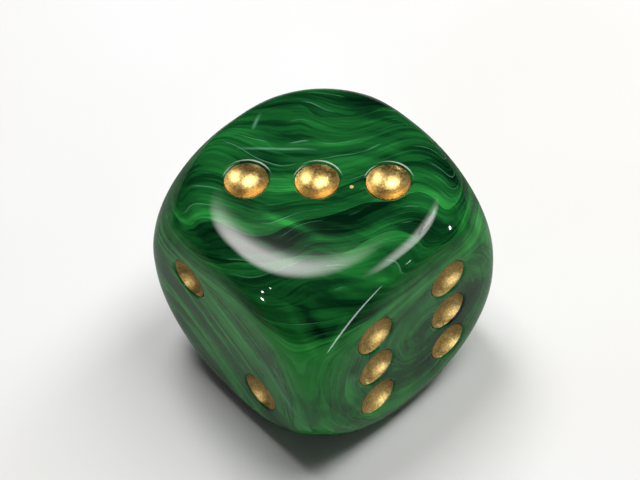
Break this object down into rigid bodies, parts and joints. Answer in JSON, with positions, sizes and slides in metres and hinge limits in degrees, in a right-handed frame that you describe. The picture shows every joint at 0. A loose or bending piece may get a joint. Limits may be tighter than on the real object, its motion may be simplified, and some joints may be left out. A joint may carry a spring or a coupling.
{
  "type": "gaming die",
  "caption": "Large cube die of marbled green resin with ball-cut corners, rounded edges and gold-filled recessed pips, thrown to pick a number.",
  "frame": {"origin": "centre of the die, half way between each pair of opposite faces", "axes": "+Z out of the face of three, +X out of the face of six, -Y out of the face of two, with the die resting on its four"},
  "size_m": [0.03, 0.03, 0.03],
  "materials": {
    "marbled_resin": "polished",
    "gold_paint": "satin"
  },
  "bodies": {
    "root": {"die_body": "marbled_resin", "pip_three_lower_left": "gold_paint", "pip_three_centre": "gold_paint", "pip_three_upper_right": "gold_paint", "pip_four_upper_left": "gold_paint", "pip_four_upper_right": "gold_paint", "pip_four_lower_left": "gold_paint", "pip_four_lower_right": "gold_paint", "pip_two_upper_left": "gold_paint", "pip_two_lower_right": "gold_paint", "pip_six_upper_left": "gold_paint", "pip_six_upper_right": "gold_paint", "pip_six_lower_left": "gold_paint", "pip_six_lower_right": "gold_paint", "pip_six_middle_left": "gold_paint", "pip_six_middle_right": "gold_paint", "pip_five_upper_left": "gold_paint", "pip_five_upper_right": "gold_paint", "pip_five_lower_left": "gold_paint", "pip_five_lower_right": "gold_paint", "pip_five_centre": "gold_paint", "pip_one_centre": "gold_paint"}
  },
  "joints": []
}
